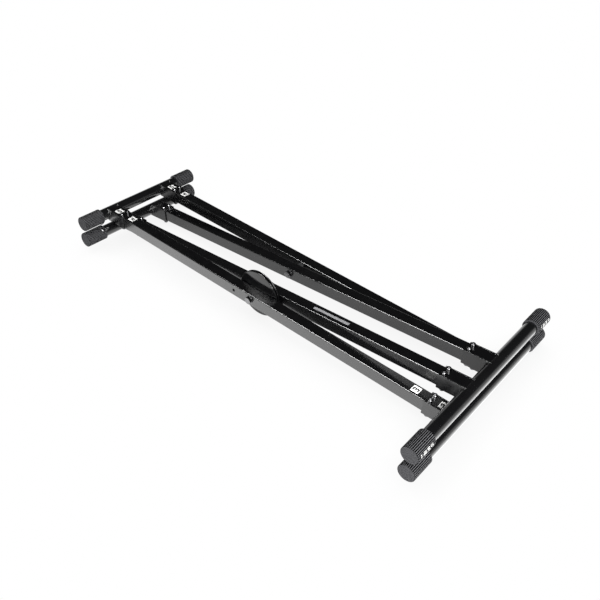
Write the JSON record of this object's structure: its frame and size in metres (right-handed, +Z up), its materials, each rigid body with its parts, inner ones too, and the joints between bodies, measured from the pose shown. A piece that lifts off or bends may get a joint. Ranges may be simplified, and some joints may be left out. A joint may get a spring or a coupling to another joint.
{
  "type": "folding keyboard stand",
  "caption": "Folding X keyboard stand, folded flat: crossing rectangular arms bolted to round foot and support tubes with ribbed rubber end caps, and a disc lock at the pivot.",
  "frame": {"origin": "bottom centre of the bounding box of the folded, lying stand, under the lowest point of the lock discs", "axes": "+X along the round cross tubes, +Y from the feet to the keyboard supports, +Z up"},
  "size_m": [0.5224, 1.088, 0.115],
  "materials": {
    "tube_paint": "gloss black powder coat",
    "arm_paint": "satin black powder coat",
    "bracket_paint": "satin black powder coat",
    "disc_paint": "gloss black powder coat",
    "cap_rubber": "matte dark grey moulded rubber",
    "zinc_hardware": "bright zinc plate",
    "spring_wire": "drawn spring steel",
    "nylon": "black nylon",
    "knob_plastic": "black moulded plastic"
  },
  "bodies": {
    "outer_frame": {"outer_foot_tube": "tube_paint", "outer_support_tube": "tube_paint", "outer_arm_left": "arm_paint", "outer_arm_right": "arm_paint", "outer_foot_bracket_left": "bracket_paint", "outer_foot_cap_left": "cap_rubber", "outer_foot_bracket_right": "bracket_paint", "outer_foot_cap_right": "cap_rubber", "outer_support_bracket_left": "bracket_paint", "outer_support_cap_left": "cap_rubber", "outer_support_bracket_right": "bracket_paint", "outer_support_cap_right": "cap_rubber", "outer_foot_cap_screws": "zinc_hardware", "outer_support_cap_screws": "zinc_hardware", "outer_bolts": "zinc_hardware", "outer_washers": "zinc_hardware", "outer_nuts": "zinc_hardware", "lock_disc_outer": "disc_paint", "pivot_bolts": "zinc_hardware", "pivot_washers": "zinc_hardware", "pivot_nuts": "zinc_hardware", "pivot_spacer_left": "nylon", "pivot_spacer_right": "nylon"},
    "inner_frame": {"inner_foot_tube": "tube_paint", "inner_support_tube": "tube_paint", "inner_arm_left": "arm_paint", "inner_arm_right": "arm_paint", "inner_foot_bracket_left": "bracket_paint", "inner_foot_cap_left": "cap_rubber", "inner_foot_bracket_right": "bracket_paint", "inner_foot_cap_right": "cap_rubber", "inner_support_bracket_left": "bracket_paint", "inner_support_cap_left": "cap_rubber", "inner_support_bracket_right": "bracket_paint", "inner_support_cap_right": "cap_rubber", "inner_foot_cap_screws": "zinc_hardware", "inner_support_cap_screws": "zinc_hardware", "inner_bolts": "zinc_hardware", "inner_washers": "zinc_hardware", "inner_nuts": "zinc_hardware", "lock_disc_inner": "disc_paint", "pivot_bushes": "nylon", "lock_barrel": "zinc_hardware", "lock_gland": "zinc_hardware", "lock_spring": "spring_wire"},
    "lock_pull": {"lock_pin": "zinc_hardware", "lock_knob": "knob_plastic"}
  },
  "joints": [
    {"name": "fold", "type": "hinge", "parent": "outer_frame", "child": "inner_frame", "pos_m": [0, 0.009, 0.0575], "axis": [-1, 0, 0], "range_deg": [0, 120]},
    {"name": "lock_slide", "type": "slide", "parent": "inner_frame", "child": "lock_pull", "axis": [1, 0, 0], "range_m": [0, 0.006], "stiffness_N_per_m": 1200, "springref_m": -0.004, "deforming": ["lock_spring"]}
  ]
}
